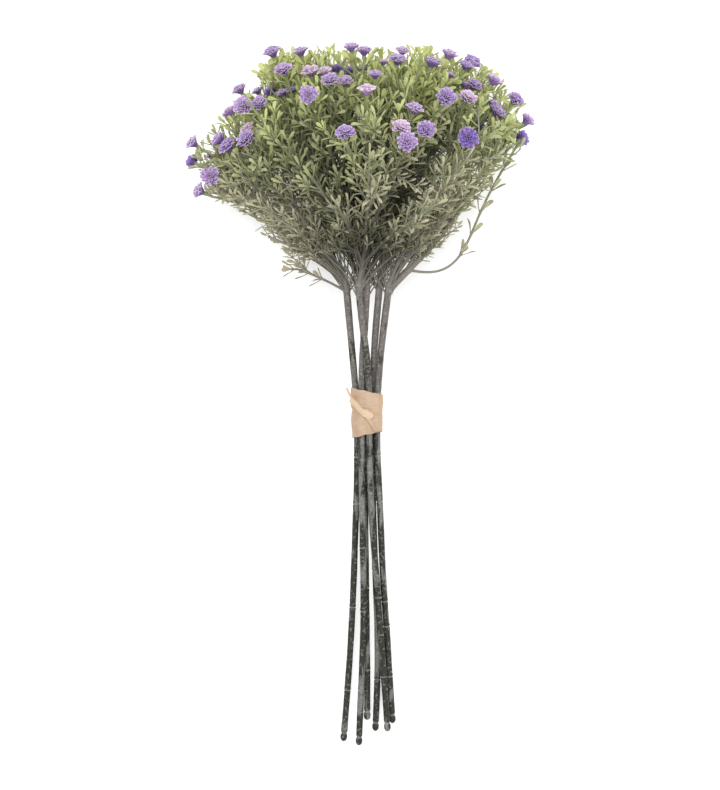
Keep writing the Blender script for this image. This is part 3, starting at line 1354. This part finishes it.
def tint_of(red, green, blue):
    """A colour given in display values from 0 to 255, as the shader takes it."""
    linear = []
    for value in (red, green, blue):
        value = value / 255
        linear.append(value / 12.92 if value <= 0.04045 else ((value + 0.055) / 1.055)**2.4)
    return (*linear, 1.0)


class Paint:
    """A material's nodes, put together by short calls."""

    def __init__(self, name, roughness):
        self.made = bpy.data.materials.new(name)
        self.made.use_nodes = True
        self.tree = self.made.node_tree
        self.shader = self.tree.nodes["Principled BSDF"]
        self.shader.inputs["Roughness"].default_value = roughness
        self.coordinates = self.node("ShaderNodeTexCoord").outputs["Object"]

    def node(self, kind, **settings):
        """One node with its settings."""
        made = self.tree.nodes.new(kind)
        for name, value in settings.items():
            setattr(made, name, value)
        return made

    def feed(self, socket, value):
        """Links a socket to another, or sets it."""
        if isinstance(value, bpy.types.NodeSocket):
            self.tree.links.new(value, socket)
        else:
            socket.default_value = value

    def value(self, name):
        """A value stored at each vertex."""
        return self.node("ShaderNodeAttribute", attribute_name=name).outputs["Fac"]

    def height(self):
        """Distance along the bunch, in metres."""
        split = self.node("ShaderNodeSeparateXYZ")
        self.feed(split.inputs[0], self.coordinates)
        return split.outputs["Y"]

    def noise(self, scale, detail=3.0, stretch=None):
        """Noise of a scale per metre, stretched along an axis where asked."""
        made = self.node("ShaderNodeTexNoise")
        made.inputs["Scale"].default_value = scale
        made.inputs["Detail"].default_value = detail
        place = self.coordinates
        if stretch:
            mapped = self.node("ShaderNodeMapping")
            self.feed(mapped.inputs["Vector"], place)
            mapped.inputs["Scale"].default_value = stretch
            place = mapped.outputs[0]
        self.feed(made.inputs["Vector"], place)
        return made.outputs["Fac"]

    def span(self, value, low, high, to_low=0.0, to_high=1.0):
        """A value moved smoothly from one range to another."""
        made = self.node("ShaderNodeMapRange", interpolation_type="SMOOTHSTEP")
        self.feed(made.inputs["Value"], value)
        limits = {"From Min": low, "From Max": high, "To Min": to_low, "To Max": to_high}
        for name, number in limits.items():
            made.inputs[name].default_value = number
        return made.outputs["Result"]

    def sum(self, operation, first, second):
        """Two values put together."""
        made = self.node("ShaderNodeMath", operation=operation, use_clamp=True)
        self.feed(made.inputs[0], first)
        self.feed(made.inputs[1], second)
        return made.outputs[0]

    def ramp(self, value, stops):
        """A colour read from stops along a value."""
        made = self.node("ShaderNodeValToRGB")
        band = made.color_ramp
        while len(band.elements) < len(stops):
            band.elements.new(0.5)
        for element, (place, colour) in zip(band.elements, stops):
            element.position = place
            element.color = tint_of(*colour)
        self.feed(made.inputs["Fac"], value)
        return made.outputs["Color"]

    def mix(self, share, first, second, blend="MIX"):
        """Two colours mixed by a share."""
        made = self.node("ShaderNodeMix", data_type="RGBA", blend_type=blend)
        self.feed(made.inputs[0], share)
        self.feed(made.inputs[6], first)
        self.feed(made.inputs[7], second)
        return made.outputs[2]

    def bump(self, value, strength, distance):
        """Fine relief from a value, in metres."""
        made = self.node("ShaderNodeBump")
        made.inputs["Strength"].default_value = strength
        made.inputs["Distance"].default_value = distance
        self.feed(made.inputs["Height"], value)
        self.feed(self.shader.inputs["Normal"], made.outputs[0])

    def colour(self, value, shade=None):
        """The base colour, multiplied by a shade where it lies deep in the crown."""
        if shade:
            value = self.mix(self.value("deep"), value, tint_of(*shade), "MULTIPLY")
        self.feed(self.shader.inputs["Base Color"], value)


def bark_material():
    """Dark, dusted shafts that turn to grey, then to green at the twig ends."""
    paint = Paint("dusted stem", 0.72)
    height = paint.height()
    dust = paint.noise(170, 6, (1.0, 0.22, 1.0))
    grit = paint.noise(1500, 3)
    dark = paint.ramp(grit, ((0.3, (12, 15, 8)), (0.7, (42, 44, 32))))
    dusted = paint.ramp(grit, ((0.3, (72, 73, 69)), (0.7, (132, 132, 128))))
    wear = paint.sum("ADD", dust, paint.span(height, -0.19, -0.02, -0.05, 0.005))
    low = paint.mix(paint.span(wear, 0.48, 0.57), dark, dusted)
    mauve = paint.ramp(grit, ((0.25, (62, 58, 55)), (0.75, (126, 120, 116))))
    patch = paint.noise(330, 5, (1.0, 0.2, 1.0))
    worn = paint.sum("SUBTRACT", patch, paint.sum("MULTIPLY", paint.value("along"), 0.14))
    bark = paint.ramp(grit, ((0.3, (30, 34, 22)), (0.7, (62, 62, 48))))
    bare = paint.mix(paint.span(worn, 0.36, 0.41), bark, mauve)
    shaft = paint.mix(paint.span(height, -0.01, 0.02), low, bare)
    young = paint.value("along")
    crown = paint.ramp(young, ((0.0, (138, 131, 124)), (0.35, (134, 130, 114)), (0.65, (126, 132, 94)),
                               (1.0, (128, 146, 82))))
    upper = paint.mix(paint.span(height, 0.055, 0.072), shaft, crown)
    speck = paint.mix(paint.sum("MULTIPLY", paint.span(paint.noise(640, 5), 0.56, 0.62), 0.35), upper,
                      tint_of(156, 153, 148))
    ring = paint.mix(paint.sum("MULTIPLY", paint.value("mark"), 0.7), speck, tint_of(148, 146, 140))
    paint.colour(ring, (92, 92, 78))
    relief = paint.sum("ADD", paint.sum("MULTIPLY", grit, 0.5), paint.sum("MULTIPLY", dust, 0.5))
    paint.bump(relief, 0.7, 0.0003)
    return paint.made


def leaf_material():
    """Leaves from taupe-grey low in the crown, by grey-green, to fresh yellow-green on top."""
    paint = Paint("gypsophila leaf", 0.62)
    tone = paint.value("tone")
    jitter = paint.sum("MULTIPLY", paint.noise(40, 3), 0.22)
    share = paint.sum("ADD", paint.span(paint.height(), 0.085, 0.205, 0.0, 0.50),
                      paint.sum("ADD", paint.sum("MULTIPLY", tone, 0.42), jitter))
    base = paint.ramp(share, ((0.14, (170, 160, 138)), (0.32, (160, 155, 128)), (0.5, (158, 161, 116)),
                              (0.68, (182, 191, 112)), (0.92, (216, 222, 140))))
    grit = paint.noise(1400, 3)
    dust = paint.mix(paint.span(grit, 0.48, 0.7, 0.0, 0.5), base, tint_of(186, 182, 158))
    along = paint.value("along")
    tip = paint.mix(paint.span(along, 0.45, 1.0, 0.0, 0.3), dust, tint_of(178, 186, 130))
    rim = paint.mix(paint.span(paint.value("mark"), 0.6, 1.0, 0.0, 0.35), tip, tint_of(214, 214, 178))
    root = paint.mix(paint.span(along, 0.0, 0.3, 0.5, 0.0), rim, tint_of(58, 64, 38))
    paint.colour(root, (58, 64, 46))
    paint.bump(grit, 0.35, 0.0002)
    return paint.made


def petal_material():
    """Violet petals, dark in their folds and pale at their edges."""
    paint = Paint("violet petal", 0.66)
    tone = paint.value("tone")
    deep = paint.ramp(tone, ((0.0, (148, 108, 160)), (0.5, (94, 66, 130)), (1.0, (66, 44, 110))))
    body = paint.ramp(tone, ((0.0, (218, 188, 216)), (0.5, (172, 142, 198)), (1.0, (130, 102, 182))))
    edge = paint.ramp(tone, ((0.0, (246, 234, 240)), (0.5, (230, 214, 234)), (1.0, (188, 166, 218))))
    along = paint.value("along")
    streak = paint.sum("MULTIPLY", paint.span(paint.noise(1600, 2), 0.4, 0.7), 0.2)
    inner = paint.mix(paint.span(paint.sum("ADD", along, streak), 0.45, 0.85), deep, body)
    sides = paint.span(paint.value("mark"), 0.55, 0.8, 0.0, 0.3)
    rimmed = paint.sum("ADD", paint.span(along, 0.86, 1.0, 0.0, 0.75), sides)
    paint.colour(paint.mix(rimmed, inner, edge), (70, 66, 78))
    paint.bump(paint.noise(2200, 2), 0.25, 0.0001)
    return paint.made


def raffia_material():
    """Peach shaving ribbon with fine fibres."""
    paint = Paint("raffia ribbon", 0.55)
    fibre = paint.noise(900, 4, (0.25, 3.2, 0.25))
    cloud = paint.noise(120, 3)
    base = paint.ramp(fibre, ((0.2, (166, 140, 116)), (0.5, (183, 157, 132)), (0.8, (196, 171, 146))))
    clouded = paint.mix(paint.span(cloud, 0.42, 0.62, 0.0, 0.5), base, tint_of(166, 134, 104))
    paint.colour(paint.mix(paint.value("tone"), clouded, tint_of(240, 216, 184)))
    paint.bump(fibre, 0.16, 0.0002)
    return paint.made


FLOOR_GLOW = 0.42


def floor_material():
    """A pale studio surface."""
    paint = Paint("pale floor", 0.9)
    paint.colour(paint.ramp(paint.noise(3, 2), ((0.3, (226, 226, 226)), (0.7, (230, 230, 230)))))
    paint.shader.inputs["Emission Color"].default_value = (1, 1, 1, 1)
    paint.shader.inputs["Emission Strength"].default_value = FLOOR_GLOW
    return paint.made


# The scene

CAMERA_HEIGHT = 3.0
LENS = 239.0
CAMERA_AIM = (-0.00016, 0.00022)
WORLD_LIGHT = 0.66
# Soft lamps: name, place in metres, power and size.
LAMPS = (("key", (-0.2, 0.5, 1.9), 27, 1.1), ("fill", (0.9, -0.6, 1.7), 11, 1.4))


def stand_up():
    """Camera above the bunch, soft light and a pale floor."""
    scene = bpy.context.scene
    lens = bpy.data.cameras.new("camera")
    lens.lens = LENS
    lens.clip_end = 20
    camera = bpy.data.objects.new("camera", lens)
    camera.location = (*CAMERA_AIM, CAMERA_HEIGHT)
    scene.collection.objects.link(camera)
    scene.camera = camera
    bpy.ops.mesh.primitive_plane_add(size=12)
    floor = bpy.context.active_object
    floor.name = "floor"
    floor.data.materials.append(floor_material())
    world = bpy.data.worlds.new("studio")
    scene.world = world
    world.use_nodes = True
    sky = world.node_tree.nodes["Background"]
    sky.inputs["Color"].default_value = (1, 1, 1, 1)
    sky.inputs["Strength"].default_value = WORLD_LIGHT
    for name, place, power, size in LAMPS:
        lamp = bpy.data.lights.new(name, "AREA")
        lamp.energy = power
        lamp.size = size
        item = bpy.data.objects.new(name, lamp)
        item.location = place
        item.rotation_euler = (-Vector(place)).to_track_quat("-Z", "Y").to_euler()
        scene.collection.objects.link(item)
    scene.view_settings.view_transform = "Standard"


def grow():
    """The skeleton, as the solids have it: shafts, heads and branches."""
    rng = random.Random(SEED)
    shafts = settle_shafts()
    heads = settle_heads()
    for head in heads:
        twin = next(other for other in heads if other.node == head.node)
        head.stem = nearest_home(twin.place)
    tips = [(place, tip_aim(place), None) for place in leafy_tips(heads, rng)]
    branches = []
    for stem, shaft in enumerate(shafts):
        own = [(head.seat(), head.facing, head) for head in heads if head.stem == stem]
        own += [tip for tip in tips if nearest_home(tip[0]) == stem]
        branches += grow_spray(stem, shaft, own)
    settle_branches(branches, shafts, heads)
    return shafts, heads, branches


def main():
    """Builds every piece and the stage."""
    shafts, heads, branches = grow()
    rng = random.Random(SEED + 1)
    for branch in branches:
        branch.hue = rng.random()
        branch.free = freedom(branch)
        branch.points = branch.points[:len(branch.points) - trimmed(branch)]
    twigs = fork_twigs(branches, rng)
    for twig in twigs:
        twig.hue = rng.random()
    room = HeadRoom(heads)
    shoots = side_shoots(branches + twigs[::2], room, rng)
    shoots += thin_spots(branches, shoots, room, rng) + twigs
    bark, leaf, petal, raffia = bark_material(), leaf_material(), petal_material(), raffia_material()
    for number, shaft in enumerate(shafts):
        pile = Pile()
        fine_shaft(pile, number, shaft, rng)
        blades = []
        for branch in branches + shoots:
            if branch.stem != number:
                continue
            branch.roll = rng.uniform(0, 2 * math.pi)
            nodes = leaf_nodes(branch)
            fine_twig(pile, branch, nodes, rng)
            for count, node in enumerate(nodes):
                place = track_at(lengths_along(branch.points), branch.points, node)
                if branch.free or np.linalg.norm(place[:2] - FORK_ENDS[number]) > LEAVES_BEGIN:
                    whorl(blades, branch, node, count, rng)
        packed = clear_blades(blades, heads)
        add_blades(pile, packed)
        piece = pile.build(f"leafy_stem_{number + 1}_grown", [bark, leaf])
        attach(piece, "root")
        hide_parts(f"leafy_stem_{number + 1}")
        print(piece.name, "leaves", len(packed[0]), "faces", len(piece.data.polygons))
    for number in range(len(BLOOMS)):
        pile = Pile()
        for head in heads:
            if head.node == number:
                add_petals(pile, head, head_tint(head, rng), rng)
        piece = pile.build(f"bloom_{number + 1:02d}_petals", [petal])
        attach(piece, "root")
        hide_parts(f"bloom_{number + 1:02d}")
    pile = Pile()
    fine_band(pile, shafts)
    for tone, end in zip(STRIP_TONES, TIE_ENDS):
        fine_strip(pile, shafts, *end, tone)
    piece = pile.build("raffia_tie_ribbon", [raffia])
    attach(piece, "root")
    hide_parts("raffia_tie")
    stand_up()


main()
